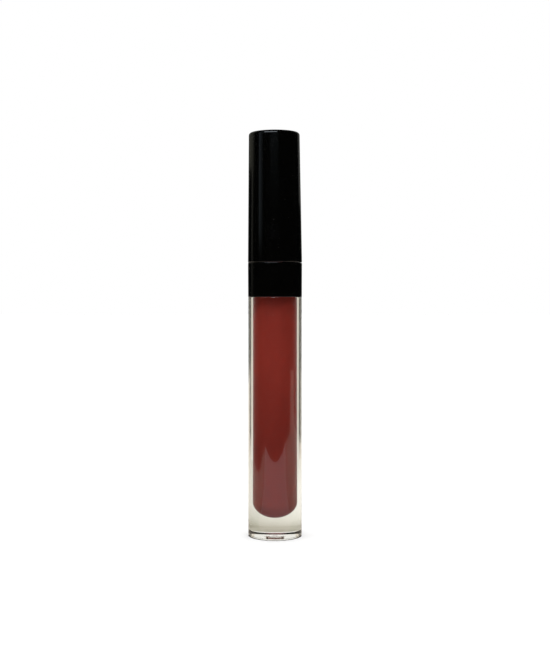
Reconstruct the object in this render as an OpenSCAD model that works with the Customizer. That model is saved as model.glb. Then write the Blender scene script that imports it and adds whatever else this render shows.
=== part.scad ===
// Lip gloss tube: a clear thick-walled bottle with a black collar, and a black screw cap that carries the wand.
// Sizes are in millimetres. The origin is the centre of the base, +Z points up the tube and -Y is the front.
// The cap has a right-hand thread: seen from above it turns anticlockwise to open, and rises as it turns.

/* [Bottle] */
// Outer diameter of the clear bottle
bottle_d = 15.8; // [15.4:0.1:15.9]
// Height of the clear bottle, from its base to the collar
bottle_h = 70.5; // [60:0.5:80]
// Diameter of the hollow, the same from its round floor to the mouth
cavity_d = 8.2; // [7.8:0.1:8.4]
// Height of the lowest point of the hollow's round floor
floor_z = 5.75; // [4:0.25:7]
// Height of the gloss in the bottle
fill_z = 76.5; // [72:0.5:78]
// Rounding of the edge round the base
base_edge_r = 0.6; // [0.2:0.05:0.8]
// Diameter of the shallow recess that the moulding gate leaves under the base
gate_d = 4; // [3:0.5:5]

/* [Neck and thread] */
// Diameter of the plain lower neck, which the collar grips
seat_d = 12.4; // [12.2:0.1:12.8]
// Diameter of the upper neck, without its thread
neck_d = 10.8; // [10.6:0.1:11]
// Length of the upper neck
neck_h = 10; // [9.5:0.1:10.5]
// Rise of the thread in one turn
thread_pitch = 3; // [2.8:0.1:3.2]
// Turns of thread on the neck
neck_turns = 1.75; // [1.5:0.25:2]
// Turns of thread in the inner cap
cap_turns = 1.5; // [1.25:0.25:1.75]
// How far each thread stands out
thread_depth = 0.6; // [0.5:0.05:0.6]
// Gap between the two threads, across the neck
thread_gap = 0.15; // [0.1:0.01:0.18]

/* [Collar and cap] */
// Diameter of the collar at its top, and of the cap at its lower end
collar_d = 16; // [15.9:0.1:16.5]
// Height of the collar
collar_h = 10.1; // [9.8:0.1:10.5]
// Gap between the collar and the closed cap
seam_gap = 0.1; // [0.05:0.05:0.5]
// Height of the cap
cap_h = 38.4; // [36:0.1:42]
// Diameter of the cap at its top
cap_top_d = 15.03; // [14.8:0.01:15.8]
// Rounding of the cap's top edge
cap_edge_r = 0.8; // [0.4:0.1:1.2]

/* [Wand] */
// Diameter of the rod
rod_d = 3.2; // [2.8:0.1:3.4]
// Diameter of the flocked tip
tip_d = 4.2; // [3.8:0.1:4.4]
// Length of the flocked tip
tip_h = 12; // [10:0.5:14]
// Clear height between the tip and the floor of the hollow
tip_lift = 3.25; // [2:0.25:5]
// Thickness of the flocking
flock_t = 0.35; // [0.25:0.05:0.4]

/* [Hidden] */

$fn = 96;
eps = 0.01;

// Radii that the outlines use
bottle_r = bottle_d / 2;
cavity_r = cavity_d / 2;
seat_r = seat_d / 2;
neck_r = neck_d / 2;
collar_r = collar_d / 2;
rod_r = rod_d / 2;
tip_r = tip_d / 2;

// Heights, from the base upwards
seat_drop = 0.2; // the lower neck ends this far under the collar's top
collar_top_z = bottle_h + collar_h;
seat_z = collar_top_z - seat_drop;
neck_z = seat_z + neck_h;
cap_z = collar_top_z + seam_gap;
cap_top_z = cap_z + cap_h;

// Bottle
shoulder_edge_r = 0.2;
mouth_edge_r = 0.3;
gate_depth = 0.4;
pip_d = 1;
pip_h = 0.25;

// Thread: both ridges are this wide, and the cap's sits under the neck's when the cap is tight
ridge_base = 1.5;
ridge_crest = 0.9;
ridge_sink = 0.2; // how deep a ridge's foot is set in its wall
ridge_steps = 24; // facets in one turn
ridge_lead_in = 2; // facets over which each end of a ridge rises
ridge_end = 0.5; // facets of that rise which each end starts with
flank_gap = 0.25;
neck_ridge_rise = 2.3; // how far over the lower neck the neck's ridge starts
cap_ridge_rise = 2; // how far over the lower neck the cap's ridge would start on the same side
neck_ridge_z = seat_z + neck_ridge_rise;
cap_ridge_z = seat_z + cap_ridge_rise;
ridge_taper = (ridge_base - ridge_crest) / thread_depth / 2; // what a flank gives up in width as it stands out
cap_ridge_drop = (ridge_base + ridge_crest) / 2 - ridge_taper * thread_gap + flank_gap;

// Collar
collar_draft = 0.05;
rim_edge_r = 0.2;
collar_foot_r = 0.15;

// Wiper: a flange on the mouth, a body that grips the bore, and a cone that ends in the wiping lip
flange_t = 0.7;
flange_inset = 0.2;
flange_r = neck_r - flange_inset;
wiper_wall = 0.6;
wiper_body_h = 6.8;
wiper_cone_h = 3;
lip_wall = 0.35;
lip_gap = 0.1;
washer_t = 1;
washer_hole_gap = 0.2;
washer_z = neck_z + flange_t;

// Inner cap
web_z = washer_z + washer_t;
web_t = 1.5;
inner_cap_inset = 0.4; // how far the inner cap ends inside the outer cap's lower rim
inner_cap_z = cap_z + inner_cap_inset;
cap_bore_r = neck_r + thread_depth + thread_gap;
inner_cap_wall = 0.65;
inner_cap_r = cap_bore_r + inner_cap_wall;
shank_r = 2;
shank_h = 12.8;
socket_wall = 1.2;
socket_top_t = 1;
fin_count = 6;
fin_t = 0.8;
fin_h = 10.5;
fin_gap = 0.1;
fin_sink = 0.3; // how deep a fin's root is set in the socket
entry_chamfer = 0.3;

// Outer cap
cap_step_z = web_z + web_t;
cap_step_w = 0.5;
cap_upper_bore_r = inner_cap_r - cap_step_w;
cap_top_t = 1.5;

// Wand
tip_z = floor_z + tip_lift;
rod_z = tip_z + tip_h;
rod_neck_h = 1.5; // height of the cone between the rod and its thicker shank
shank_drop = 0.5; // the shank starts this far under the mouth
shank_z = neck_z - shank_drop;
plug_r = 0.9;
plug_h = 5.5;
plug_gap = 0.5;
slant_angle = 22; // lean of the tip's flat face from upright
slant_reach = 0.6; // how far behind the axis that face ends
fill_gap = 0.15; // clearance between the gloss and the wand

// Waste outside the rounding of a corner at x, z; sx and sz are the sides on which the corner points out.
module corner_waste(x, z, r, sx, sz)
    translate([x - sx * r, z - sz * r])
        mirror([sx < 0 ? 1 : 0, 0])
            mirror([0, sz < 0 ? 1 : 0])
                difference() {
                    square(r + eps);
                    circle(r);
                }

// An upright band from radius r1 to r2 and from z1 to z2, which a caller spins round the axis.
module band(r1, r2, z1, z2)
    translate([r1, z1])
        square([r2 - r1, z2 - z1]);

// A ring: a band spun round the axis.
module ring(r1, r2, z1, z2)
    rotate_extrude()
        band(r1, r2, z1, z2);

// The hollow's outline up to a height, with its round floor.
module cavity_outline(top_z) {
    band(0, cavity_r, floor_z + cavity_r, top_z);
    intersection() {
        translate([0, floor_z + cavity_r])
            circle(cavity_r);
        band(0, cavity_r, floor_z, floor_z + cavity_r);
    }
}

// A ridge's foot, crest, crest and foot at one step. Its foot is set in the wall and rises by the same slope.
function ridge_section(foot_r, crest_r, angle, z, rise) =
    let (
        crest = foot_r + (crest_r - foot_r) * rise,
        half_foot = ridge_base / 2 + ridge_sink * ridge_taper,
        half_crest = half_foot - abs(crest - foot_r) * ridge_taper,
        corners = [[foot_r, -half_foot], [crest, -half_crest], [crest, half_crest], [foot_r, half_foot]]
    )
    [for (c = corners) [c[0] * cos(angle), c[0] * sin(angle), z + c[1]]];

// A right-hand thread ridge between two radii, from a start angle for some turns, as one closed sweep.
module thread_ridge(foot_r, crest_r, start_z, start_angle, turns) {
    last = round(turns * ridge_steps);
    points = [
        for (i = [0:last])
            let (rise = min(1, (min(i, last - i) + ridge_end) / (ridge_lead_in + ridge_end)))
            each ridge_section(
                foot_r, crest_r, start_angle + i * 360 / ridge_steps,
                start_z + i * thread_pitch / ridge_steps, rise
            )
    ];
    outward = crest_r > foot_r;
    sides = [
        for (i = [0:last - 1], k = [0:3])
            let (a = 4 * i + k, b = 4 * i + (k + 1) % 4)
            each [[a, a + 4, b], [b, a + 4, b + 4]]
    ];
    far = 4 * last;
    ends = [[0, 1, 2], [0, 2, 3], [far + 2, far + 1, far], [far + 3, far + 2, far]];
    faces = concat(sides, ends);
    polyhedron(points, outward ? [for (f = faces) [f[2], f[1], f[0]]] : faces);
}

// The bottle's outline: body, plain lower neck and threaded upper neck, with the gate's recess under the base.
module bottle_outline()
    difference() {
        union() {
            band(0, bottle_r, 0, bottle_h);
            band(0, seat_r, bottle_h - eps, seat_z);
            band(0, neck_r, seat_z - eps, neck_z);
        }
        corner_waste(bottle_r, 0, base_edge_r, 1, -1);
        corner_waste(bottle_r, bottle_h, shoulder_edge_r, 1, 1);
        corner_waste(neck_r, neck_z, mouth_edge_r, 1, 1);
        difference() {
            band(0, gate_d / 2, -eps, gate_depth);
            band(0, pip_d / 2, gate_depth - pip_h, gate_depth + eps);
        }
    }

module bottle()
    color([0.86, 0.88, 0.82, 0.45])
        difference() {
            union() {
                rotate_extrude()
                    bottle_outline();
                thread_ridge(neck_r - ridge_sink, neck_r + thread_depth, neck_ridge_z, 0, neck_turns);
            }
            rotate_extrude()
                cavity_outline(neck_z + eps);
        }

// The gloss fills the hollow up to its level, round the wand.
module gloss_fill()
    color([0.45, 0.13, 0.12])
        difference() {
            rotate_extrude()
                cavity_outline(fill_z);
            translate([0, 0, rod_z])
                cylinder(r = rod_r + fill_gap, h = fill_z - rod_z + eps);
            translate([0, 0, tip_z + tip_r]) {
                cylinder(r = tip_r + fill_gap, h = tip_h - tip_r + fill_gap);
                sphere(r = tip_r + fill_gap);
            }
        }

// A wiper of soft plastic, pressed in the mouth: its lip strips the wand.
module wiper() {
    body_z = neck_z - wiper_body_h;
    lip_z = body_z - wiper_cone_h;
    lip_r = rod_r + lip_gap;
    bore_r = cavity_r - wiper_wall;
    color([0.93, 0.93, 0.9])
        rotate_extrude()
            polygon([
                [lip_r, lip_z], [lip_r + lip_wall, lip_z], [cavity_r, body_z], [cavity_r, neck_z],
                [flange_r, neck_z], [flange_r, washer_z], [bore_r, washer_z], [bore_r, body_z]
            ]);
}

module collar()
    color([0.03, 0.03, 0.03])
        rotate_extrude()
            difference() {
                polygon([
                    [seat_r, bottle_h], [collar_r - collar_draft, bottle_h], [collar_r, collar_top_z],
                    [seat_r, collar_top_z]
                ]);
                corner_waste(collar_r, collar_top_z, rim_edge_r, 1, 1);
                corner_waste(collar_r - collar_draft, bottle_h, collar_foot_r, 1, -1);
                corner_waste(seat_r, collar_top_z, rim_edge_r, -1, 1);
            }

module cap_washer()
    color([0.9, 0.9, 0.88])
        ring(shank_r + washer_hole_gap, flange_r, washer_z, web_z);

// The cap's outer shell: tapered, closed at the top, with a step inside that the inner cap seats on.
module outer_cap() {
    taper = (collar_d - cap_top_d) / 2 / cap_h;
    lean = atan(taper);
    edge_z = cap_top_z - cap_edge_r;
    edge_x = collar_r - taper * (edge_z - cap_z) - cap_edge_r / cos(lean);
    tangent = [edge_x + cap_edge_r * cos(lean), edge_z + cap_edge_r * sin(lean)];
    color([0.03, 0.03, 0.03])
        rotate_extrude()
            difference() {
                polygon([[0, cap_z], [collar_r, cap_z], [cap_top_d / 2, cap_top_z], [0, cap_top_z]]);
                difference() {
                    polygon([
                        [edge_x, edge_z], tangent, [collar_r, cap_top_z + eps], [edge_x, cap_top_z + eps]
                    ]);
                    translate([edge_x, edge_z])
                        circle(cap_edge_r);
                }
                corner_waste(collar_r, cap_z, rim_edge_r, 1, -1);
                band(0, inner_cap_r, cap_z - eps, cap_step_z);
                band(0, cap_upper_bore_r, cap_step_z - eps, cap_top_z - cap_top_t);
            }
}

// The liner inside the cap: a threaded skirt, a web that presses the washer, and a finned socket for the wand.
module inner_cap() {
    socket_r = shank_r + socket_wall;
    socket_z = web_z + shank_h + socket_top_t;
    ridge_angle = (cap_ridge_z + cap_ridge_drop - neck_ridge_z) / thread_pitch * 360;
    color([0.12, 0.12, 0.12]) {
        difference() {
            union() {
                ring(0, inner_cap_r, inner_cap_z, cap_step_z);
                ring(0, socket_r, cap_step_z - eps, socket_z);
                for (i = [0:fin_count - 1])
                    rotate(i * 360 / fin_count)
                        translate([socket_r - fin_sink, -fin_t / 2, cap_step_z - eps])
                            cube([cap_upper_bore_r - fin_gap - socket_r + fin_sink, fin_t, fin_h]);
            }
            ring(0, cap_bore_r, inner_cap_z - eps, web_z);
            ring(0, shank_r, web_z - eps, web_z + shank_h);
            translate([0, 0, inner_cap_z - eps])
                cylinder(r1 = cap_bore_r + entry_chamfer, r2 = cap_bore_r, h = entry_chamfer + eps);
        }
        thread_ridge(cap_bore_r + ridge_sink, cap_bore_r - thread_depth, cap_ridge_z, ridge_angle, cap_turns);
    }
}

// The rod, with a thicker shank at its top and a blind hole in its lower end for the tip's plug.
module wand_rod()
    color([0.05, 0.05, 0.05])
        rotate_extrude()
            difference() {
                polygon([
                    [0, rod_z], [rod_r, rod_z], [rod_r, shank_z - rod_neck_h], [shank_r, shank_z],
                    [shank_r, web_z + shank_h], [0, web_z + shank_h]
                ]);
                band(0, plug_r, rod_z - eps, rod_z + plug_h + plug_gap);
            }

// A slanted tip's outside, this far under the flocking's: a round-ended peg cut by a leaning plane.
module doe_foot(inset) {
    r = tip_r - inset;
    difference() {
        translate([0, 0, tip_z + tip_r]) {
            cylinder(r = r, h = tip_h - tip_r);
            sphere(r = r);
        }
        translate([0, slant_reach + inset / cos(slant_angle), tip_z])
            rotate([slant_angle, 0, 0])
                translate([-tip_d, -2 * tip_d, -tip_d])
                    cube([2 * tip_d, 2 * tip_d, tip_h + tip_d]);
    }
}

module applicator_tip()
    color([0.85, 0.83, 0.8]) {
        doe_foot(flock_t);
        translate([0, 0, rod_z - eps])
            cylinder(r = plug_r, h = plug_h + eps);
    }

module tip_flocking()
    color([0.55, 0.2, 0.18])
        difference() {
            doe_foot(0);
            doe_foot(flock_t);
        }

bottle();
gloss_fill();
wiper();
collar();
cap_washer();
outer_cap();
inner_cap();
wand_rod();
applicator_tip();
tip_flocking();
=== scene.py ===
"""A lip gloss tube: a clear bottle of red gloss, a black collar, and a black cap that carries the wand."""

import math

import bmesh
import bpy
import numpy as np
from mathutils import Matrix, Vector


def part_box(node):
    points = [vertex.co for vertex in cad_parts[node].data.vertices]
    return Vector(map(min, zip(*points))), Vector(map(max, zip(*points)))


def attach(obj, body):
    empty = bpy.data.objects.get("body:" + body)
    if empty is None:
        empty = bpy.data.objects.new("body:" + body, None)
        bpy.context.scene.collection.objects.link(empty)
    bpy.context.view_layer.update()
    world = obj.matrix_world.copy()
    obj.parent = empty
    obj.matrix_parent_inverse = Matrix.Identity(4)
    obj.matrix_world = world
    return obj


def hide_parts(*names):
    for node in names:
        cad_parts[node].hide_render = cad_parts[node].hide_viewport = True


bl_info = {
    "name": "Lip Gloss Tube",
    "version": (1, 0, 0),
    "blender": (4, 5, 0),
    "location": "3D View > Sidebar > Lip Gloss",
    "description": "Builds a lip gloss tube and its wand round a packed CAD frame, with a small studio",
    "category": "Object",
}

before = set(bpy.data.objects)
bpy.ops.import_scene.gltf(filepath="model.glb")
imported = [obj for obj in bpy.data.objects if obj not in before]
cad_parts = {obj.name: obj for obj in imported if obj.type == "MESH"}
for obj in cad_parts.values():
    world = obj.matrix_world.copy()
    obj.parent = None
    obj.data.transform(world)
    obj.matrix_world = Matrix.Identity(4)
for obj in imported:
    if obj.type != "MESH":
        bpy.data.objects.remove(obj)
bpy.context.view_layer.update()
MM = 0.001


def reach(node):
    """Radius, lowest height and highest height of a CAD node, in metres."""
    low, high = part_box(node)
    return high.x, low.z, high.z


BOTTLE_R, BASE_Z, MOUTH_Z = reach("bottle")
COLLAR_R, SHOULDER_Z, COLLAR_TOP_Z = reach("collar")
BORE_R, FLOOR_Z, FILL_Z = reach("gloss_fill")
FLANGE_R, LIP_Z, WASHER_Z = reach("wiper")
WASHER_R, _, WEB_Z = reach("cap_washer")
CAP_R, CAP_Z, CAP_TOP_Z = reach("outer_cap")
LINER_R, LINER_Z, SOCKET_Z = reach("inner_cap")
SHANK_R, ROD_Z, SHANK_TOP_Z = reach("wand_rod")
TIP_R, TIP_Z, _ = reach("tip_flocking")
BOTTLE_BODY, WASHER_BODY, CAP_BODY = "bottle_body", "washer_body", "cap_body"

LINER_TOP_Z = WEB_Z + 1.5 * MM  # top of the liner's web, where the cap's inner step seats
THREAD_RING = 0.09 * MM  # spacing of a threaded wall's rings, fine enough for the thread's flanks
THREAD_GAP = 0.175 * MM  # between the flanks of the two threads, along the axis
NECK_RISE, NECK_TURNS = 2.3 * MM, 1.75  # the neck's thread: its start above the upper neck's foot, its turns
LINER_RISE, LINER_TURNS = 2 * MM, 1.5  # the liner's thread, from the same height
SAME_WALL = 0.01 * MM  # radii closer than this belong to one wall
SHARP_ANGLE = math.radians(34)  # between two faces that are shaded apart


# ---------------------------------------------------------------- sizes and colours


def length(name, description, default):
    """A size property in metres."""
    return bpy.props.FloatProperty(
        name=name, description=description, default=default,
        min=0, precision=5, unit="LENGTH", subtype="DISTANCE"
    )


def colour(name, description, default):
    """A colour property, in linear light."""
    return bpy.props.FloatVectorProperty(
        name=name, description=description, default=default, size=3, min=0, max=1, subtype="COLOR"
    )


class GlossTubeSizes(bpy.types.PropertyGroup):
    """Sizes that the frame doesn't give."""

    facets: bpy.props.IntProperty(
        name="Facets", description="Facets round each turned piece", default=256, min=64, max=512
    )
    seat_r: length("Lower neck radius", "Radius of the plain neck that the collar grips", 6.2 * MM)
    neck_r: length("Upper neck radius", "Radius of the threaded neck, without its thread", 5.4 * MM)
    neck_h: length("Upper neck length", "Length of the threaded neck", 10 * MM)
    pitch: length("Thread pitch", "Rise of the thread in one turn", 3 * MM)
    ridge_foot: length("Thread foot", "Width of the thread at its foot", 1.5 * MM)
    ridge_crest: length("Thread crest", "Width of the thread at its crest", 0.9 * MM)
    ridge_out: length("Thread depth", "How far each thread stands out", 0.6 * MM)
    base_edge: length("Base edge", "Rounding of the bottle's base edge", 0.6 * MM)
    gate_r: length("Gate recess radius", "Radius of the recess that the gate leaves under the base", 2 * MM)
    gate_depth: length("Gate recess depth", "Depth of the recess under the base", 0.4 * MM)
    cap_top_r: length("Cap top radius", "Radius of the cap at its top", 7.515 * MM)
    cap_edge: length("Cap edge", "Rounding of the cap's top edge", 0.8 * MM)
    cap_lean: bpy.props.FloatProperty(
        name="Cap lean", description="How far the cap stands off upright on its thread",
        default=math.radians(0.35), min=0, max=math.radians(1), precision=5, unit="ROTATION", subtype="ANGLE"
    )
    rim_edge: length("Rim edge", "Rounding of the rims on both sides of the seam", 0.2 * MM)
    liner_bore_r: length("Liner bore radius", "Radius of the inner cap's bore, behind its thread", 6.15 * MM)
    rod_r: length("Rod radius", "Radius of the wand's rod", 1.6 * MM)
    lip_r: length("Wiper lip radius", "Radius of the hole in the wiper's lip", 1.7 * MM)
    fibre: length("Fibre length", "Length of the flocking's fibres", 0.45 * MM)
    fibres: bpy.props.IntProperty(
        name="Fibres", description="Number of loose fibres on the flocked tip", default=5000, min=0, max=20000
    )


class GlossTubeColours(bpy.types.PropertyGroup):
    """Colours of the tube's materials and of the studio."""

    clear: colour("Clear plastic", "Tint of the bottle's plastic", (0.86, 0.85, 0.79))
    gloss: colour("Gloss", "The gloss in the bottle", (0.44, 0.05, 0.037))
    gloss_film: colour("Gloss film", "Thin gloss left on the wand and the wiper", (0.42, 0.075, 0.06))
    black: colour("Black plastic", "The collar's and the cap's gloss black", (0.0008, 0.0008, 0.0007))
    liner: colour("Liner plastic", "The inner cap and the rod", (0.012, 0.012, 0.012))
    wiper: colour("Wiper plastic", "Soft natural plastic of the wiper", (0.55, 0.54, 0.5))
    foam: colour("Washer foam", "Foamed plastic of the washer", (0.82, 0.81, 0.78))
    tip: colour("Tip plastic", "Moulded core of the applicator", (0.7, 0.64, 0.6))
    flock: colour("Flocking", "Dry fibres of the flocking", (0.62, 0.34, 0.3))
    floor: colour("Floor", "The studio's floor", (0.36, 0.36, 0.36))


class GlossTubeStudio(bpy.types.PropertyGroup):
    """Camera and light."""

    distance: length("Camera distance", "From the tube's axis to the camera", 0.327)
    height: length("Camera height", "Height of the camera over the floor", 0.0705)
    lens: bpy.props.FloatProperty(
        name="Lens", description="Focal length of the camera, in millimetres", default=59.14, min=20, max=200
    )
    shift_x: bpy.props.FloatProperty(name="Shift X", description="Sideways shift of the lens", default=0.0)
    shift_y: bpy.props.FloatProperty(name="Shift Y", description="Upward shift of the lens", default=-0.058)
    surround: bpy.props.FloatProperty(
        name="Surround", description="Brightness of the white surround", default=1.0, min=0, max=5
    )


# ---------------------------------------------------------------- finishes


class Number:
    """A socket whose value varies over a surface. Its sums and products add Math nodes."""

    def __init__(self, finish, socket):
        self.finish = finish
        self.socket = socket

    def __add__(self, other):
        return self.finish.math("ADD", self, other)

    def __radd__(self, other):
        return self.finish.math("ADD", other, self)

    def __sub__(self, other):
        return self.finish.math("SUBTRACT", self, other)

    def __rsub__(self, other):
        return self.finish.math("SUBTRACT", other, self)

    def __mul__(self, other):
        return self.finish.math("MULTIPLY", self, other)

    def __rmul__(self, other):
        return self.finish.math("MULTIPLY", other, self)

    def __gt__(self, other):
        return self.finish.math("GREATER_THAN", self, other)

    def __lt__(self, other):
        return self.finish.math("LESS_THAN", self, other)


class Finish:
    """A node tree in the making. Every node but the expressions' Math nodes comes from add."""

    def __init__(self, tree):
        self.tree = tree
        tree.nodes.clear()

    def add(self, kind, settings=None, inputs=None, output=0):
        """Adds a node of a type, with its settings first and then its sockets' values or links."""
        node = self.tree.nodes.new(kind)
        for name, value in (settings or {}).items():
            setattr(node, name, value)
        for name, value in (inputs or {}).items():
            socket = node.inputs[name]
            if isinstance(value, Number):
                self.tree.links.new(value.socket, socket)
            else:
                socket.default_value = value
        return Number(self, node.outputs[output]) if len(node.outputs) else node

    def math(self, operation, *values):
        return self.add("ShaderNodeMath", {"operation": operation}, dict(enumerate(values)))

    def reflected(self):
        """1 for light that a glossy surface mirrors, and 0 for light that passes through clear plastic."""
        mirrored = self.add("ShaderNodeLightPath", output="Is Glossy Ray")
        return mirrored * (1 - self.add("ShaderNodeLightPath", output="Is Transmission Ray"))

    def bounced(self):
        """1 for light on its way to a matt surface, and 0 for what the camera sees or a gloss mirrors."""
        return self.add("ShaderNodeLightPath", output="Diffuse Depth") > 0.5

    def place(self):
        """Position on the piece at rest, in metres."""
        return self.add("ShaderNodeTexCoord", output="Object")

    def height(self):
        """Height on the piece at rest, in metres."""
        return self.add("ShaderNodeSeparateXYZ", inputs={0: self.place()}, output=2)

    def stretched(self, x, y, z):
        """Position with each axis scaled."""
        return self.add("ShaderNodeVectorMath", {"operation": "MULTIPLY"}, {0: self.place(), 1: (x, y, z)})

    def noise(self, scale, detail=2.0, roughness=0.5, where=None):
        """Soft random patches of a value from 0 to 1."""
        inputs = {"Vector": where or self.place(), "Scale": scale, "Detail": detail, "Roughness": roughness}
        return self.add("ShaderNodeTexNoise", inputs=inputs)

    def between(self, value, low, high):
        """0 below low and 1 above high, with a smooth rise between them."""
        return self.add(
            "ShaderNodeMapRange",
            {"interpolation_type": "SMOOTHSTEP"},
            {"Value": value, "From Min": low, "From Max": high},
        )

    def mix(self, share, first, second):
        """Colours mixed by a share from 0 to 1."""
        return self.add("ShaderNodeMix", {"data_type": "RGBA"}, {0: share, 6: first, 7: second}, output=2)

    def scratches(self, scale, width):
        """Fine random hairlines, 1 on a line and 0 off it."""
        lines = 0
        for lean in ((1, 0.12, 0.9), (0.3, 1, 0.2)):
            drift = self.noise(scale * 3, where=self.stretched(*lean))
            cells = self.add(
                "ShaderNodeTexVoronoi",
                {"feature": "DISTANCE_TO_EDGE"},
                {"Vector": self.stretched(*lean), "Scale": scale},
            )
            broken = self.noise(scale * 0.8) > 0.52
            lines = (cells + drift * 0.01 < width) * broken + lines
        return lines

    def bump(self, height, depth):
        """A normal from a height between 0 and 1 that stands for a depth in metres."""
        return self.add("ShaderNodeBump", inputs={"Height": height, "Distance": depth, "Strength": 1.0})

    def surface(self, **inputs):
        """The surface's shader and its output; an underscore stands for the space in a socket's name."""
        named = {name.replace("_", " "): value for name, value in inputs.items()}
        shader = self.add("ShaderNodeBsdfPrincipled", inputs=named)
        self.add("ShaderNodeOutputMaterial", inputs={"Surface": shader})


def rgba(rgb):
    """An opaque colour for a socket."""
    return (rgb[0], rgb[1], rgb[2], 1.0)


def finish_for(name):
    """A new material and its empty node tree."""
    material = bpy.data.materials.new(name)
    material.use_nodes = True
    return material, Finish(material.node_tree)


def clear_plastic(colours):
    """Moulded clear plastic with faint flow ripples and a few rubs."""
    material, f = finish_for("moulded_clear")
    ripple = f.noise(160, 1.0, where=f.stretched(1, 1, 0.18))
    rub = f.between(f.noise(230, 4.0), 0.5, 0.8)
    f.surface(
        Base_Color=rgba(colours.clear),
        Roughness=0.004 + rub * 0.012,
        IOR=1.57,
        Transmission_Weight=1.0,
        Normal=f.bump(ripple, 0.004 * MM),
    )
    return material


def thick_gloss(colours):
    """Thick gloss with soft swirls of slightly different reds, and painted shade that darkens it towards the
    floor of the hollow.
    """
    material, f = finish_for("thick_gloss")
    swirl = f.noise(140, 3.0, where=f.stretched(1, 1, 0.25))
    # The third, darker red is painted shade for light that falls from overhead. It fades in between the two
    # heights below.
    deep, pale, painted_shade_red = (tuple(min(1, c * share) for c in colours.gloss) for share in (0.93, 1.07, 0.68))
    mixed = f.mix(f.between(swirl, 0.3, 0.7), rgba(deep), rgba(pale))
    shade_start_z, shade_full_z = 55 * MM, 22 * MM
    f.surface(
        Base_Color=f.mix(f.between(f.height(), shade_start_z, shade_full_z), mixed, rgba(painted_shade_red)),
        Roughness=0.3 + f.noise(500) * 0.1,
        Specular_IOR_Level=0.1,
        Normal=f.bump(f.noise(300), 0.004 * MM),
    )
    return material


def black_gloss(colours):
    """Polished black plastic with a faint orange peel, hairlines, handling marks and specks of dust."""
    material, f = finish_for("polished_black")
    smudge = f.between(f.noise(120, 5.0, 0.6), 0.45, 0.75)
    lines = f.scratches(260, 0.006)
    dust, dust_grey = f.noise(2600) > 0.74, (0.3, 0.3, 0.28, 1)
    f.surface(
        Base_Color=f.mix(dust * 0.12, rgba(colours.black), dust_grey),
        Roughness=0.1 + smudge * 0.08 + lines * 0.15,
        Specular_IOR_Level=0.5,
        Normal=f.bump(f.noise(900, 2.0) + lines * -0.2, 0.003 * MM),
    )
    return material


def satin_black(colours, name, film_top=None):
    """Satin black plastic with fine moulding grain, and gloss left on it below film_top."""
    material, f = finish_for(name)
    grain = f.noise(3000, 3.0)
    drag = f.noise(500, 2.0, where=f.stretched(1, 1, 0.12))
    base, rough = rgba(colours.liner), 0.32 + grain * 0.12
    height = grain * 0.3
    if film_top is not None:
        uneven, fade = 30 * MM, 3 * MM
        level = f.height() + (f.noise(420, 3.0, where=f.stretched(1, 1, 0.3)) - 0.5) * uneven
        film = 1 - f.between(level, film_top - fade, film_top)
        base = f.mix(film * (0.35 + drag * 0.5), base, rgba(colours.gloss_film))
        rough = rough * (1 - film * 0.7)
        height = height + film * drag * 4
    f.surface(Base_Color=base, Roughness=rough, Normal=f.bump(height, 0.02 * MM))
    return material


def wiper_plastic(colours):
    """Soft milky plastic, with gloss smeared on the cone and the lip."""
    material, f = finish_for("milky_plastic")
    uneven, wet_z, clean_z = 4 * MM, LIP_Z + 2.5 * MM, LIP_Z + 5 * MM
    level = f.height() + (f.noise(600, 3.0) - 0.5) * uneven
    smear = 1 - f.between(level, wet_z, clean_z)
    streak = f.noise(700, 2.0, where=f.stretched(1, 1, 0.3))
    f.surface(
        Base_Color=f.mix(smear * (0.5 + streak * 0.5), rgba(colours.wiper), rgba(colours.gloss_film)),
        Roughness=0.42 - smear * 0.28 + f.noise(1500) * 0.06,
        Subsurface_Weight=0.3,
        Subsurface_Radius=(0.6 * MM, 0.5 * MM, 0.4 * MM),
        Subsurface_Scale=1.0,
        Normal=f.bump(streak, 0.02 * MM),
    )
    return material


def washer_foam(colours):
    """Closed-cell foam with its cut cells."""
    material, f = finish_for("cut_foam")
    cells = f.add("ShaderNodeTexVoronoi", inputs={"Vector": f.place(), "Scale": 4200})
    tone = tuple(c * 0.8 for c in colours.foam)
    f.surface(
        Base_Color=f.mix(f.between(cells, 0.1, 0.6), rgba(tone), rgba(colours.foam)),
        Roughness=0.75 + cells * 0.1,
        Normal=f.bump(cells, 0.06 * MM),
    )
    return material


def tip_plastic(colours):
    """Moulded plastic of the applicator's core."""
    material, f = finish_for("moulded_tip")
    grain = f.noise(2400, 3.0)
    f.surface(
        Base_Color=f.mix(grain, rgba(tuple(c * 0.9 for c in colours.tip)), rgba(colours.tip)),
        Roughness=0.4 + grain * 0.15,
        Normal=f.bump(grain, 0.01 * MM),
    )
    return material


def wet_flocking(colours):
    """Short fibres matted with gloss, drier towards the rod."""
    material, f = finish_for("wet_flocking")
    tuft = f.noise(2600, 4.0, 0.7)
    wet = f.between(f.noise(330, 3.0) + (ROD_Z - 3 * MM - f.height()) * 60, 0.3, 0.75)
    f.surface(
        Base_Color=f.mix(wet * (0.6 + tuft * 0.4), rgba(colours.flock), rgba(colours.gloss_film)),
        Roughness=0.85 - wet * 0.45,
        Sheen_Weight=0.25,
        Sheen_Roughness=0.4,
        Normal=f.bump(tuft, 0.1 * MM),
    )
    return material


# ---------------------------------------------------------------- shapes


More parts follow.
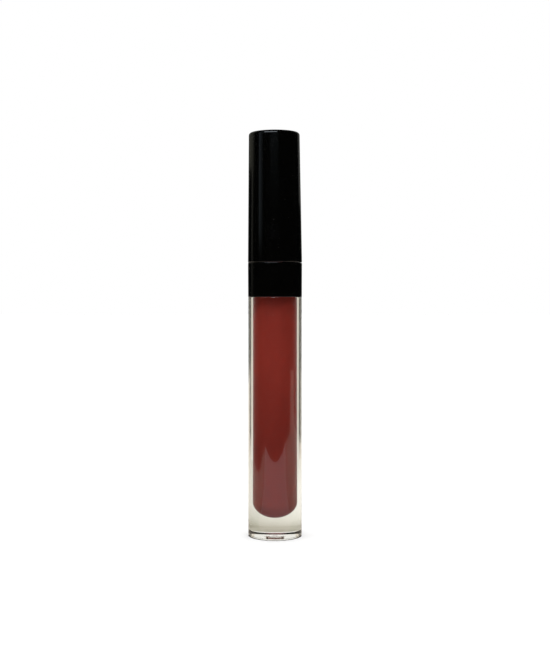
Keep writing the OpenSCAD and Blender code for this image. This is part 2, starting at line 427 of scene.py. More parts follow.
def rounded(outline, steps=6, beside=0.04 * MM):
    """The outline's radii and heights, each corner that has a rounding replaced by an arc.

    A point close beside each arc keeps the flat wall next to it flat where it is shaded."""
    points = []
    last = len(outline) - 1
    for n, corner in enumerate(outline):
        here = Vector(corner[:2])
        radius = corner[2] if len(corner) > 2 else 0
        if not radius:
            points.append(here)
            continue
        before = (Vector(outline[n - 1][:2]) - here).normalized()
        after = (Vector(outline[0 if n == last else n + 1][:2]) - here).normalized()
        half = before.angle(after) / 2
        along = radius / math.tan(half)
        centre = here + (before + after).normalized() * radius / math.sin(half)
        start, end = here + before * along - centre, here + after * along - centre
        turn = math.atan2(start.x * end.y - start.y * end.x, start.dot(end))
        points.append(here + before * (along + beside))
        for step in range(steps + 1):
            points.append(centre + Matrix.Rotation(turn * step / steps, 2) @ start)
        points.append(here + after * (along + beside))
    return [(max(0.0, p.x), p.y) for p in points]


def new_piece(name, mesh, material, body, nodes):
    """A piece with its material, riding on a body and standing for CAD nodes."""
    piece = bpy.data.objects.new(name, mesh)
    bpy.context.scene.collection.objects.link(piece)
    mesh.materials.append(material)
    mesh.shade_smooth()
    mesh.set_sharp_from_angle(angle=SHARP_ANGLE)
    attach(piece, body)
    if nodes:
        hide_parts(*nodes)
    return piece


def turned(name, outline, facets, closed=False, relief=None):
    """A mesh turned about the tube's axis from an outline of (radius, height, rounding) corners.

    closed joins the outline's last corner to its first one.
    relief takes arrays of angle, radius and height, and gives the new radius."""
    profile = rounded(outline)
    angles = np.arange(facets) * 2 * math.pi / facets
    corners, rings = [], []
    on_axis = 1e-9
    for radius, height in profile:
        rings.append((len(corners), radius > on_axis))
        if radius <= on_axis:
            corners.append((0.0, 0.0, height))
            continue
        radii = np.full(facets, radius)
        if relief is not None:
            radii = relief(angles, radii, height)
        corners.extend(zip(radii * np.cos(angles), radii * np.sin(angles), np.full(facets, height)))
    faces = []
    pairs = list(zip(rings, rings[1:] + rings[:1] if closed else rings[1:]))
    for (low, low_ring), (high, high_ring) in pairs:
        for k in range(facets):
            m = (k + 1) % facets
            if low_ring and high_ring:
                faces.append((low + k, low + m, high + m, high + k))
            elif high_ring:
                faces.append((low, high + m, high + k))
            elif low_ring:
                faces.append((low + k, low + m, high))
    mesh = bpy.data.meshes.new(name)
    mesh.from_pydata(corners, [], faces)
    work = bmesh.new()
    work.from_mesh(mesh)
    bmesh.ops.recalc_face_normals(work, faces=work.faces)
    work.to_mesh(mesh)
    work.free()
    return mesh


def upright(radius, low, high, step):
    """Closely spaced points of an upright wall, from low to high or from high to low."""
    count = max(2, round(abs(high - low) / step))
    return [(radius, low + (high - low) * n / count) for n in range(count + 1)]


def thread(sizes, start_z, start_angle, turns, sign):
    """Relief of a right-hand thread that stands out of a wall, or into a bore where sign is -1."""
    foot, crest = sizes.ridge_foot / 2, sizes.ridge_crest / 2
    lead_in = 0.1  # turns over which each end rises

    def relief(angles, radii, height):
        share = np.zeros_like(angles)
        for whole in range(math.ceil(turns) + 1):
            turn = ((angles - start_angle) / (2 * math.pi)) % 1 + whole
            off = np.abs(height - start_z - sizes.pitch * turn)
            flank = np.clip((foot - off) / (foot - crest), 0, 1)
            end = np.clip(np.minimum(turn, turns - turn) / lead_in, 0, 1)
            share = np.maximum(share, flank * end * end * (3 - 2 * end))
        return radii + sign * sizes.ridge_out * share

    return relief


def joined(base, tool, operation):
    """base with tool joined to it or cut from it; the tool is used up."""
    change = base.modifiers.new("join", "BOOLEAN")
    change.operation = operation
    change.solver = "MANIFOLD"
    change.object = tool
    apply_modifiers(base)
    bpy.data.objects.remove(tool)


def apply_modifiers(piece):
    """Replaces a piece's mesh with what its modifiers make of it."""
    bpy.context.view_layer.update()
    shown = piece.evaluated_get(bpy.context.evaluated_depsgraph_get())
    mesh = bpy.data.meshes.new_from_object(shown)
    piece.modifiers.clear()
    piece.data = mesh


# ---------------------------------------------------------------- the pieces


class GlossTubeOperator(bpy.types.Operator):
    """What the operators share."""

    bl_options = {"REGISTER", "UNDO"}

    @classmethod
    def poll(cls, context):
        return context.scene is not None


class GLOSSTUBE_OT_bottle(GlossTubeOperator):
    """Turns the clear bottle with its threaded neck, round-floored hollow and gate recess"""

    bl_idname = "glosstube.bottle"
    bl_label = "Bottle"

    def execute(self, context):
        sizes, colours = context.scene.glosstube_sizes, context.scene.glosstube_colours
        neck_z = MOUTH_Z - sizes.neck_h
        pip_r, pip_z = 0.5 * MM, sizes.gate_depth - 0.25 * MM
        dome = [
            (BORE_R * math.sin(a), FLOOR_Z + BORE_R * (1 - math.cos(a)))
            for a in np.linspace(math.pi / 2, 0, 28)
        ]
        outline = [
            (0, pip_z),
            (pip_r, pip_z, 0.12 * MM),
            (pip_r, sizes.gate_depth, 0.08 * MM),
            (sizes.gate_r, sizes.gate_depth, 0.15 * MM),
            (sizes.gate_r, BASE_Z, 0.12 * MM),
            (BOTTLE_R, BASE_Z, sizes.base_edge),
            (BOTTLE_R, SHOULDER_Z, 0.2 * MM),
            (sizes.seat_r, SHOULDER_Z, 0.1 * MM),
            (sizes.seat_r, neck_z, 0.15 * MM),
            *upright(sizes.neck_r, neck_z, MOUTH_Z - 0.4 * MM, THREAD_RING),
            (sizes.neck_r, MOUTH_Z, 0.3 * MM),
            (BORE_R, MOUTH_Z, 0.1 * MM),
            *dome,
        ]
        mesh = turned("clear_bottle", outline, sizes.facets, relief=self.neck_thread(sizes, neck_z))
        new_piece("clear_bottle", mesh, clear_plastic(colours), BOTTLE_BODY, ["bottle"])
        return {"FINISHED"}

    def neck_thread(self, sizes, neck_z):
        """The neck's thread, which leaves the hollow and the rest of the bottle alone."""
        ridge = thread(sizes, neck_z + NECK_RISE, 0, NECK_TURNS, 1)

        def relief(angles, radii, height):
            return ridge(angles, radii, height) if abs(radii[0] - sizes.neck_r) < SAME_WALL else radii

        return relief


class GLOSSTUBE_OT_gloss(GlossTubeOperator):
    """Fills the hollow with gloss, up to a meniscus in the neck"""

    bl_idname = "glosstube.gloss"
    bl_label = "Gloss"

    def execute(self, context):
        sizes, colours = context.scene.glosstube_sizes, context.scene.glosstube_colours
        touch = 0.05 * MM  # how far the gloss reaches into the wall, which leaves no air between them
        radius = BORE_R + touch
        centre_z = FLOOR_Z + BORE_R
        dome = [
            (radius * math.sin(a), centre_z - radius * math.cos(a)) for a in np.linspace(0, math.pi / 2, 28)
        ]
        rise = 0.8 * MM
        meniscus = [
            (radius * (1 - t), FILL_Z - rise * (1 - (1 - t) ** 3)) for t in np.linspace(0, 1, 14)
        ]
        mesh = turned("gloss_column", dome + meniscus, sizes.facets)
        new_piece("gloss_column", mesh, thick_gloss(colours), BOTTLE_BODY, ["gloss_fill"])
        return {"FINISHED"}


class GLOSSTUBE_OT_wiper(GlossTubeOperator):
    """Turns the wiper: a flange on the mouth, a body in the bore and a cone that ends in the lip"""

    bl_idname = "glosstube.wiper"
    bl_label = "Wiper"

    def execute(self, context):
        sizes, colours = context.scene.glosstube_sizes, context.scene.glosstube_colours
        body_z, inner_r = LIP_Z + 3 * MM, BORE_R - 0.6 * MM
        middle_z, half = (body_z + MOUTH_Z) / 2, 0.4 * MM
        outline = [
            (sizes.lip_r, LIP_Z, 0.1 * MM),
            (sizes.lip_r + 0.35 * MM, LIP_Z, 0.1 * MM),
            (BORE_R, body_z, 0.3 * MM),
            (BORE_R, middle_z - half),
            (BORE_R, middle_z + half),
            (BORE_R, MOUTH_Z, 0.1 * MM),
            (FLANGE_R, MOUTH_Z, 0.08 * MM),
            (FLANGE_R, WASHER_Z, 0.2 * MM),
            (inner_r, WASHER_Z, 0.3 * MM),
            (inner_r, body_z, 0.5 * MM),
        ]
        mesh = turned("wiper_insert", outline, sizes.facets, closed=True)
        new_piece("wiper_insert", mesh, wiper_plastic(colours), BOTTLE_BODY, ["wiper"])
        return {"FINISHED"}


class GLOSSTUBE_OT_collar(GlossTubeOperator):
    """Turns the black collar between the bottle and the cap"""

    bl_idname = "glosstube.collar"
    bl_label = "Collar"

    def execute(self, context):
        sizes = context.scene.glosstube_sizes
        outline = [
            (sizes.seat_r, SHOULDER_Z, 0.05 * MM),
            (COLLAR_R - 0.05 * MM, SHOULDER_Z, 0.15 * MM),
            (COLLAR_R, COLLAR_TOP_Z, sizes.rim_edge),
            (sizes.seat_r, COLLAR_TOP_Z, sizes.rim_edge),
        ]
        mesh = turned("collar_ring", outline, sizes.facets, closed=True)
        new_piece("collar_ring", mesh, polish(context), BOTTLE_BODY, ["collar"])
        return {"FINISHED"}


class GLOSSTUBE_OT_washer(GlossTubeOperator):
    """Cuts the foam washer that seals the inner cap on the wiper"""

    bl_idname = "glosstube.washer"
    bl_label = "Washer"

    def execute(self, context):
        sizes, colours = context.scene.glosstube_sizes, context.scene.glosstube_colours
        hole_r, squeeze = hole_through("cap_washer"), 0.12 * MM
        middle = (WASHER_Z + WEB_Z) / 2
        outline = [
            (hole_r, WASHER_Z, 0.05 * MM),
            (WASHER_R - squeeze, WASHER_Z, 0.05 * MM),
            (WASHER_R, middle, 0.4 * MM),
            (WASHER_R - squeeze, WEB_Z, 0.05 * MM),
            (hole_r, WEB_Z, 0.05 * MM),
        ]
        mesh = turned("foam_washer", outline, sizes.facets, closed=True)
        new_piece("foam_washer", mesh, washer_foam(colours), WASHER_BODY, ["cap_washer"])
        return {"FINISHED"}


class GLOSSTUBE_OT_cap(GlossTubeOperator):
    """Turns the cap's tapered black shell, with the step inside that the liner seats on"""

    bl_idname = "glosstube.cap"
    bl_label = "Cap shell"

    def execute(self, context):
        sizes = context.scene.glosstube_sizes
        upper_r, ceiling_z = LINER_R - 0.5 * MM, CAP_TOP_Z - 1.5 * MM
        outline = [
            (0, ceiling_z),
            (upper_r, ceiling_z, 0.4 * MM),
            (upper_r, LINER_TOP_Z, 0.05 * MM),
            (LINER_R, LINER_TOP_Z, 0.05 * MM),
            (LINER_R, CAP_Z, 0.1 * MM),
            (CAP_R, CAP_Z, sizes.rim_edge),
            (sizes.cap_top_r, CAP_TOP_Z, sizes.cap_edge),
            (0, CAP_TOP_Z),
        ]
        mesh = turned("cap_shell", outline, sizes.facets)
        seat = Matrix.Translation((0, 0, CAP_Z))
        mesh.transform(seat @ Matrix.Rotation(-sizes.cap_lean, 4, "Y") @ seat.inverted())
        new_piece("cap_shell", mesh, polish(context), CAP_BODY, ["outer_cap"])
        return {"FINISHED"}


class GLOSSTUBE_OT_liner(GlossTubeOperator):
    """Turns the threaded liner with its wand socket, and adds the fins that centre it in the cap"""

    bl_idname = "glosstube.liner"
    bl_label = "Threaded liner"

    def execute(self, context):
        sizes, colours = context.scene.glosstube_sizes, context.scene.glosstube_colours
        bore_r, tower_r = sizes.liner_bore_r, SHANK_R + 1.2 * MM
        outline = [
            (0, SHANK_TOP_Z),
            (SHANK_R, SHANK_TOP_Z, 0.1 * MM),
            (SHANK_R, WEB_Z, 0.1 * MM),
            (bore_r, WEB_Z, 0.2 * MM),
            *upright(bore_r, WEB_Z - 0.4 * MM, LINER_Z + 0.5 * MM, THREAD_RING),
            (bore_r, LINER_Z + 0.35 * MM, 0.05 * MM),
            (bore_r + 0.3 * MM, LINER_Z, 0.04 * MM),
            (LINER_R, LINER_Z, 0.08 * MM),
            (LINER_R, LINER_TOP_Z, 0.1 * MM),
            (tower_r, LINER_TOP_Z, 0.3 * MM),
            (tower_r, SOCKET_Z, 0.3 * MM),
            (0, SOCKET_Z),
        ]
        neck_z = MOUTH_Z - sizes.neck_h
        ridge_z, neck_ridge_z = neck_z + LINER_RISE, neck_z + NECK_RISE
        under = (sizes.ridge_foot + sizes.ridge_crest) / 2 + THREAD_GAP
        lead = (ridge_z + under - neck_ridge_z) / sizes.pitch * 2 * math.pi
        ridge = thread(sizes, ridge_z, lead, LINER_TURNS, -1)

        def relief(angles, radii, height):
            return ridge(angles, radii, height) if abs(radii[0] - bore_r) < SAME_WALL else radii

        mesh = turned("threaded_liner", outline, sizes.facets, relief=relief)
        material = satin_black(colours, "satin_liner")
        piece = new_piece("threaded_liner", mesh, material, CAP_BODY, ["inner_cap"])
        joined(piece, self.fins(tower_r, LINER_TOP_Z), "UNION")
        return {"FINISHED"}

    def fins(self, tower_r, low_z):
        """Six thin fins with chamfered top corners, as one tool to join to the liner."""
        work = bmesh.new()
        count, half, sunk = 6, 0.4 * MM, 0.3 * MM
        reach_r, high_z, cut = LINER_R - 0.6 * MM, low_z + 10.5 * MM, 0.8 * MM
        side = [
            (tower_r - sunk, low_z - sunk), (reach_r, low_z - sunk), (reach_r, high_z - cut),
            (reach_r - cut, high_z), (tower_r - sunk, high_z),
        ]
        for n in range(count):
            turn = Matrix.Rotation(n * 2 * math.pi / count, 3, "Z")
            flanks = [
                [work.verts.new(turn @ Vector((x, y, z))) for x, z in side] for y in (-half, half)
            ]
            work.faces.new(flanks[0])
            work.faces.new(reversed(flanks[1]))
            for k in range(len(side)):
                m = (k + 1) % len(side)
                work.faces.new((flanks[0][m], flanks[0][k], flanks[1][k], flanks[1][m]))
        bmesh.ops.recalc_face_normals(work, faces=work.faces)
        mesh = bpy.data.meshes.new("fins")
        work.to_mesh(mesh)
        work.free()
        tool = bpy.data.objects.new("fins", mesh)
        bpy.context.scene.collection.objects.link(tool)
        return tool


class GLOSSTUBE_OT_rod(GlossTubeOperator):
    """Turns the wand's rod with its thicker shank and the hole for the tip's plug"""

    bl_idname = "glosstube.rod"
    bl_label = "Wand rod"

    def execute(self, context):
        sizes, colours = context.scene.glosstube_sizes, context.scene.glosstube_colours
        plug_r, plug_z = 0.9 * MM, ROD_Z + 6 * MM
        shank_z, film_top = MOUTH_Z - 0.5 * MM, ROD_Z + 38 * MM
        outline = [
            (0, plug_z),
            (plug_r, plug_z, 0.1 * MM),
            (plug_r, ROD_Z, 0.1 * MM),
            (sizes.rod_r, ROD_Z, 0.25 * MM),
            (sizes.rod_r, shank_z - 1.5 * MM, 0.5 * MM),
            (SHANK_R, shank_z, 0.5 * MM),
            (SHANK_R, SHANK_TOP_Z, 0.2 * MM),
            (0, SHANK_TOP_Z),
        ]
        mesh = turned("wand_shaft", outline, sizes.facets)
        material = satin_black(colours, "satin_rod", film_top)
        new_piece("wand_shaft", mesh, material, CAP_BODY, ["wand_rod"])
        return {"FINISHED"}


class GLOSSTUBE_OT_tip(GlossTubeOperator):
    """Shapes the flocking on the slanted tip, with its loose fibres, and finishes the core under it"""

    bl_idname = "glosstube.tip"
    bl_label = "Flocked tip"

    def execute(self, context):
        sizes, colours = context.scene.glosstube_sizes, context.scene.glosstube_colours
        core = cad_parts["applicator_tip"]
        core.data.materials.clear()
        core.data.materials.append(tip_plastic(colours))
        coat = self.coat()
        material = wet_flocking(colours)
        piece = new_piece("flocking_coat", coat, material, CAP_BODY, ["tip_flocking"])
        joined(piece, self.core_tool(core), "DIFFERENCE")
        fibres = self.fibres(piece.data, sizes)
        new_piece("flocking_fibres", fibres, material, CAP_BODY, [])
        return {"FINISHED"}

    def coat(self):
        """A round-ended peg cut by a leaning plane, with soft edges and an uneven matted surface."""
        dome = [
            (TIP_R * math.sin(a), TIP_Z + TIP_R * (1 - math.cos(a)))
            for a in np.linspace(0, math.pi / 2, 16)
        ]
        outline = dome + upright(TIP_R, TIP_Z + TIP_R, ROD_Z - 0.5 * MM, 0.5 * MM)[1:]
        outline += [(TIP_R, ROD_Z, 0.35 * MM), (0, ROD_Z)]
        mesh = turned("flocking_coat", outline, 96)
        lean, slant_y = math.radians(22), 0.6 * MM
        work = bmesh.new()
        work.from_mesh(mesh)
        cut = bmesh.ops.bisect_plane(
            work, geom=work.verts[:] + work.edges[:] + work.faces[:], clear_inner=True,
            plane_co=(0, slant_y, TIP_Z), plane_no=(0, math.cos(lean), math.sin(lean)),
        )
        rim = [e for e in cut["geom_cut"] if isinstance(e, bmesh.types.BMEdge)]
        bmesh.ops.holes_fill(work, edges=rim, sides=0)
        bmesh.ops.recalc_face_normals(work, faces=work.faces)
        work.to_mesh(mesh)
        work.free()
        soft = bpy.data.objects.new("soft_tip", mesh)
        bpy.context.scene.collection.objects.link(soft)
        voxels = soft.modifiers.new("voxels", "REMESH")
        voxels.mode = "VOXEL"
        voxels.voxel_size = 0.11 * MM
        easing = soft.modifiers.new("easing", "SMOOTH")
        easing.factor, easing.iterations = 0.5, 4
        apply_modifiers(soft)
        mesh = soft.data
        mesh.name = "flocking_coat"
        bpy.data.objects.remove(soft)
        return mesh

    def core_tool(self, core):
        """A welded copy of the core, to cut the coat with."""
        work = bmesh.new()
        work.from_mesh(core.data)
        bmesh.ops.remove_doubles(work, verts=work.verts, dist=0.001 * MM)
        mesh = bpy.data.meshes.new("core_tool")
        work.to_mesh(mesh)
        work.free()
        tool = bpy.data.objects.new("core_tool", mesh)
        bpy.context.scene.collection.objects.link(tool)
        return tool

    def fibres(self, coat, sizes):
        """Short tapered fibres that stand on the coat and lean a little, as one mesh."""
        spread, droop = 0.45, 0.35
        thick, sunk = 0.022 * MM, 0.05 * MM
        flat = 1e-14  # square metres, for a triangle too thin to stand a fibre on
        rng = np.random.default_rng(7)
        coat.calc_loop_triangles()
        points = np.array([v.co for v in coat.vertices])
        triangles = np.array([t.vertices for t in coat.loop_triangles])
        a, b, c = (points[triangles[:, k]] for k in range(3))
        across = np.cross(b - a, c - a)
        areas = np.linalg.norm(across, axis=1)
        normals = across / np.maximum(areas, flat)[:, None]
        middle = (a + b + c) / 3
        outwards = np.einsum("ij,ij->i", normals, middle * (1, 1, 0))
        outer = (areas > flat) & (middle[:, 2] < ROD_Z - 0.2 * MM) & (outwards > -0.2 * MM)
        weight = areas * outer
        picks = rng.choice(len(areas), size=sizes.fibres, p=weight / weight.sum())
        u, v = rng.random((2, sizes.fibres))
        flip = u + v > 1
        u[flip], v[flip] = 1 - u[flip], 1 - v[flip]
        feet = a[picks] + (b - a)[picks] * u[:, None] + (c - a)[picks] * v[:, None]
        lean = normals[picks] + rng.normal(0, spread, (sizes.fibres, 3)) + np.array((0, 0, -droop))
        lean /= np.linalg.norm(lean, axis=1)[:, None]
        longs = sizes.fibre * rng.uniform(0.45, 1, sizes.fibres)
        corners, faces = [], []
        for foot, way, long in zip(feet, lean, longs):
            side = np.cross(way, (0.3, 0.2, 0.93))
            side /= np.linalg.norm(side)
            other = np.cross(way, side)
            start = len(corners)
            for turn in (0, 2 * math.pi / 3, 4 * math.pi / 3):
                rim = (side * math.cos(turn) + other * math.sin(turn)) * thick
                corners.append(foot - way * sunk + rim)
            corners.append(foot + way * long)
            faces += [
                (start, start + 2, start + 1), (start, start + 1, start + 3),
                (start + 1, start + 2, start + 3), (start + 2, start, start + 3),
            ]
        mesh = bpy.data.meshes.new("flocking_fibres")
        mesh.from_pydata([tuple(p) for p in corners], [], faces)
        return mesh


def polish(context):
    """The black gloss that the collar and the cap share."""
    return bpy.data.materials.get("polished_black") or black_gloss(context.scene.glosstube_colours)


def hole_through(node):
    """Radius of the hole through a CAD ring."""
    return min(math.hypot(v.co.x, v.co.y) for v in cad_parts[node].data.vertices)


# ---------------------------------------------------------------- the studio


ALL_RAYS = ("camera", "diffuse", "glossy", "transmission", "volume_scatter", "shadow")
THROUGH_PLASTIC = ("transmission",)
UNDER_BASE = ("transmission", "camera")
MIRRORED = ("glossy",)


def card(name, points, faces, glows, rays):
    """A studio card that only some rays see, with its own light at each of its points."""
    mesh = bpy.data.meshes.new(name)
    mesh.from_pydata(points, [], faces)
    shade = mesh.color_attributes.new("glow", "FLOAT_COLOR", "POINT")
    shade.data.foreach_set("color", [part for glow in glows for part in rgba(glow)])
    board = bpy.data.objects.new(name, mesh)
    bpy.context.scene.collection.objects.link(board)
    material, f = finish_for(name)
    glow = f.add("ShaderNodeAttribute", {"attribute_name": "glow"})
    light = f.add("ShaderNodeEmission", inputs={"Color": glow, "Strength": 1.0})
    if "transmission" not in rays:
        passed = f.add("ShaderNodeLightPath", output="Is Transmission Ray")
        nothing = f.add("ShaderNodeBsdfTransparent")
        light = f.add("ShaderNodeMixShader", inputs={0: passed, 1: light, 2: nothing})
    f.add("ShaderNodeOutputMaterial", inputs={"Surface": light})
    material.cycles.emission_sampling = "NONE"
    mesh.materials.append(material)
    for ray in ALL_RAYS:
        setattr(board, "visible_" + ray, ray in rays)


def ring_card(name, bearings, rows, rays):
    """A card curved round the tube's axis, upright, flat or leaning.

    bearings are degrees: 0 is straight behind the tube and 90 to its right.
    Each row is a distance, a height, and the light at the first and at the last bearing."""
    across = np.linspace(0, 1, 9)
    points, glows = [], []
    for distance, height, first, last in rows:
        for share in across:
            bearing = math.radians(bearings[0] + (bearings[1] - bearings[0]) * share)
            points.append((distance * math.sin(bearing), distance * math.cos(bearing), height))
            glows.append([a + (b - a) * share for a, b in zip(first, last)])
    count = len(across)
    faces = [
        (k, k + 1, count + k + 1, count + k)
        for n in range(len(rows) - 1) for k in range(n * count, (n + 1) * count - 1)
    ]
    card(name, points, faces, glows, rays)


def soft_box(name, bearings, rises, glow, shares=((1, 1), (1, 1))):
    """An upright card that only black plastic reflects.

    rises are degrees seen from the camera's height.
    shares scale the light at the low and the high edge, at the first and the last bearing."""
    distance, eye_z = 0.6, bpy.context.scene.glosstube_studio.height
    rows = []
    for rise, share in zip(rises, shares):
        height = eye_z + distance * math.tan(math.radians(rise))
        rows.append((distance, height, *([part * end for part in glow] for end in share)))
    ring_card(name, bearings, rows, MIRRORED)


class GLOSSTUBE_OT_studio(GlossTubeOperator):
    """Sets up the pale floor, the soft light, the cards and the camera"""

    bl_idname = "glosstube.studio"
    bl_label = "Studio"

    def execute(self, context):
        studio, colours = context.scene.glosstube_studio, context.scene.glosstube_colours
        self.floor(colours)
        self.surround(context, studio)
        self.flags()
        self.painted_contact_shadow()
        self.boxes()
        self.floor_cards()
        self.camera(context, studio)
        context.scene.view_settings.view_transform = "Standard"
        return {"FINISHED"}

    def floor(self, colours):
        """Pale paper, darker to what plastic mirrors and to what bounces on to the tube."""
        half, low = 4.0, -0.01 * MM
        corners = [(-half, -half, low), (half, -half, low), (half, half, low), (-half, half, low)]
        mesh = bpy.data.meshes.new("studio_floor")
        mesh.from_pydata(corners, [], [(0, 1, 2, 3)])
        board = bpy.data.objects.new("studio_floor", mesh)
        bpy.context.scene.collection.objects.link(board)
        material, f = finish_for("studio_floor")
        mirrored, bounced = f.reflected(), f.bounced()
        paper = f.noise(600, 3.0) * 0.03
        fibre, warm, dim = (0.35, 0.35, 0.345, 1), (0.29, 0.255, 0.22, 1), (0.1, 0.1, 0.095, 1)
        lift, none = (0.28, 0.28, 0.28, 1), (0.0, 0.0, 0.0, 1)
        seen = f.mix(mirrored, f.mix(paper, rgba(colours.floor), fibre), warm)
        f.surface(
            Base_Color=f.mix(bounced, seen, dim),
            Roughness=0.9,
            Specular_IOR_Level=0.0,
            Emission_Color=f.mix(mirrored, lift, none),
            Emission_Strength=1.0,
        )
        material.cycles.emission_sampling = "NONE"
        mesh.materials.append(material)

    def surround(self, context, studio):
        """White all round, but dark to what the black plastic reflects."""
        world = bpy.data.worlds.new("surround")
        world.use_nodes = True
        f = Finish(world.node_tree)
        way = f.add("ShaderNodeTexCoord", output="Generated")
        rise = f.add("ShaderNodeSeparateXYZ", inputs={0: way}, output=2)
        side = f.add("ShaderNodeSeparateXYZ", inputs={0: way}, output=0)
        soft, white, unlit = f.bounced(), (1, 1, 1, 1), (0.004, 0.004, 0.004, 1)
        overhead = 0.25 + f.between(rise, 0.35, 0.9) * 4 - side * 0.2
        strength = overhead * soft + (1 - soft)
        light = f.add(
            "ShaderNodeBackground",
            inputs={"Color": f.mix(f.reflected(), white, unlit), "Strength": strength * studio.surround},
        )
        f.add("ShaderNodeOutputWorld", inputs={"Surface": light})
        world.cycles.sampling_method = "NONE"
        context.scene.world = world

    def flags(self):
        """Dark and grey cards beside the tube and shade behind it, which only its clear walls show."""
        low = 0.3 * MM
        dark, grey, pale = (0.08, 0.07, 0.05), (0.8, 0.74, 0.66), (0.9, 0.88, 0.84)
        # distance and height in metres, and the light
        core = (0.15, 0, grey), (0.15, 0.012, dark), (0.15, 0.3, dark)
        outer = (0.11, low, pale), (0.16, low, grey), (0.23, 0.028, grey), (0.23, 0.04, dark), (0.23, 0.4, dark)
        inner = (0.15, 0, pale), (0.15, 0.02, grey), (0.15, 0.3, grey)
        for name, side in (("left", -1), ("right", 1)):
            for part, start, stop, rows in (
                ("core", 53, 68, core), ("outer", 68, 100, outer), ("inner", 40, 53, inner),
            ):
                rows = [(distance, height, glow, glow) for distance, height, glow in rows]
                ring_card("flag_%s_%s" % (part, name), (side * start, side * stop), rows, THROUGH_PLASTIC)
        far = (1.12, 1.12, 1.08)
        # distance in millimetres, and the light at the left and at the right
        shade = (
            (8.6, (0.7, 0.68, 0.6), (0.2, 0.19, 0.12)),
            (15.5, (0.9, 0.88, 0.8), (0.26, 0.25, 0.16)),
            (25, (1.08, 1.07, 1), (0.5, 0.5, 0.42)),
            (40, far, (0.72, 0.71, 0.65)),
            (75, far, (0.78, 0.76, 0.7)),
            (151, (0.85, 0.83, 0.76), (0.68, 0.66, 0.6)),
        )
        rows = [(distance * MM, low, left, right) for distance, left, right in shade]
        ring_card("shade_behind", (-75, 75), rows, THROUGH_PLASTIC)

    def painted_contact_shadow(self):
        """Painted contact shadow: a dark ring on the floor where the base stands, which the base's clear edge
        shows.
        """
        foot = -0.005 * MM
        lit, dim, black = (0.85, 0.83, 0.76), (0.12, 0.12, 0.1), (0, 0, 0)
        for name, bearings, lit_r, dim_r in (
            ("left", (-135, -45), 3.6, 5), ("behind", (-45, 45), 6.6, 7.4),
            ("right", (45, 135), 3.6, 5), ("front", (135, 225), 6.6, 7.4),
        ):
            # Painted shadow: each ring fades from the floor's tone inside to dark, and then to black at the
            # base's edge.
            rows = [(r * MM, foot, glow, glow) for r, glow in ((lit_r, lit), (dim_r, dim), (7.9, black))]
            ring_card("shadow_ring_" + name, bearings, rows, UNDER_BASE)

    def boxes(self):
        """Soft boxes all round, for the highlights on the black plastic."""
        left = (0.27, 0.27, 0.22)
        soft_box("box_left", (-64, -30), (10.4, 50), left, ((0.8, 0.5), (1, 0.65)))
        soft_box("box_left_edge", (-82, -64), (10.4, 50), left, ((0.1, 0.8), (0.2, 1)))
        soft_box("strip_left", (-66, -60), (-5, 10.4), (0.2, 0.2, 0.18), ((0.6, 0.4), (1, 1)))
        soft_box("strip_left_edge", (-74, -66), (-5, 10.4), (0.12, 0.12, 0.1), ((0, 0.4), (0.3, 1)))
        soft_box("box_front_left", (-128, -107.5), (5.4, 50), (0.36, 0.42, 0.48), ((0.05, 0.7), (0.1, 1)))
        soft_box("box_front", (162, 198), (8.9, 22), (0.12, 0.15, 0.17), ((0, 0), (1, 1)))
        soft_box("box_back", (-25, 30), (-1, 50), (0.12, 0.12, 0.11))
        soft_box("box_right", (30, 46), (8, 50), (0.2, 0.2, 0.19))
        soft_box("box_front_high", (167, 228), (22, 40), (4, 4.4, 4.8))

    def floor_cards(self):
        """Black and warm shapes just over the floor that only a gloss mirrors, in metres from the tube."""
        height, black, warm = 0.5 * MM, (0, 0, 0), (1.05, 0.78, 0.8)
        flag = [
            (-3.9, -3.9), (3.9, -3.9), (3.9, 0.55), (0.02, 0.55), (0.05, 0.21), (0.15, 0.15), (0.3, 0.0),
            (0.74, -0.05), (0.7, -0.26), (0.237, -0.107), (0.15, -0.158), (-0.134, -0.158), (-0.141, -0.108),
            (-0.12, -0.039), (-0.157, 0.033), (-0.6, 0.25), (-1.64, 0.55), (-3.9, 0.55),
        ]
        far_flag = [(-3.9, 0.55), (3.9, 0.55), (3.9, 3.9), (-3.9, 3.9)]
        bounce = [(-0.14, -0.158), (0.15, -0.158), (0.03, -0.012), (-0.03, -0.012)]
        for name, outline, glow in (
            ("flag_floor", flag, black), ("flag_floor_far", far_flag, black), ("bounce_front", bounce, warm),
        ):
            points = [(x, y, height) for x, y in outline]
            card(name, points, [tuple(range(len(points)))], [glow] * len(points), MIRRORED)

    def camera(self, context, studio):
        """A level camera in front of the tube, with a small shift of the lens."""
        lens = bpy.data.cameras.new("camera")
        lens.lens = studio.lens
        lens.shift_x = studio.shift_x
        lens.shift_y = studio.shift_y
        lens.clip_start = 0.01
        holder = bpy.data.objects.new("camera", lens)
        holder.location = (0, -studio.distance, studio.height)
        holder.rotation_euler = (math.pi / 2, 0, 0)
        context.scene.collection.objects.link(holder)
        context.scene.camera = holder


PIECES = (
    GLOSSTUBE_OT_bottle,
    GLOSSTUBE_OT_gloss,
    GLOSSTUBE_OT_wiper,
    GLOSSTUBE_OT_collar,
    GLOSSTUBE_OT_washer,
    GLOSSTUBE_OT_cap,
    GLOSSTUBE_OT_liner,
    GLOSSTUBE_OT_rod,
    GLOSSTUBE_OT_tip,
    GLOSSTUBE_OT_studio,
)


class GLOSSTUBE_PT_panel(bpy.types.Panel):
    """Lists the pieces, their sizes and their colours"""

    bl_idname = "GLOSSTUBE_PT_panel"
    bl_label = "Lip Gloss Tube"
    bl_space_type = "VIEW_3D"
    bl_region_type = "UI"
    bl_category = "Lip Gloss"

    def draw(self, context):
        for settings in (
            context.scene.glosstube_sizes, context.scene.glosstube_colours, context.scene.glosstube_studio
        ):
            box = self.layout.box()
            for name in settings.__annotations__:
                box.prop(settings, name)
        for piece in PIECES:
            self.layout.operator(piece.bl_idname)


CLASSES = (GlossTubeSizes, GlossTubeColours, GlossTubeStudio, *PIECES, GLOSSTUBE_PT_panel)


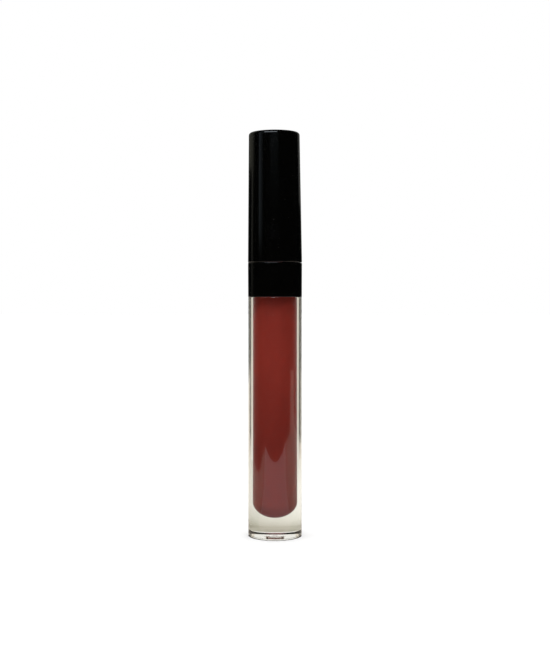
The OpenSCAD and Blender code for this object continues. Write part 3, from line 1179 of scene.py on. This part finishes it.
def register():
    for cls in CLASSES:
        bpy.utils.register_class(cls)
    bpy.types.Scene.glosstube_sizes = bpy.props.PointerProperty(type=GlossTubeSizes)
    bpy.types.Scene.glosstube_colours = bpy.props.PointerProperty(type=GlossTubeColours)
    bpy.types.Scene.glosstube_studio = bpy.props.PointerProperty(type=GlossTubeStudio)


def unregister():
    del bpy.types.Scene.glosstube_studio
    del bpy.types.Scene.glosstube_colours
    del bpy.types.Scene.glosstube_sizes
    for cls in reversed(CLASSES):
        bpy.utils.unregister_class(cls)


def main():
    register()
    for piece in PIECES:
        group, name = piece.bl_idname.split(".")
        getattr(getattr(bpy.ops, group), name)()


if __name__ == "__main__":
    main()
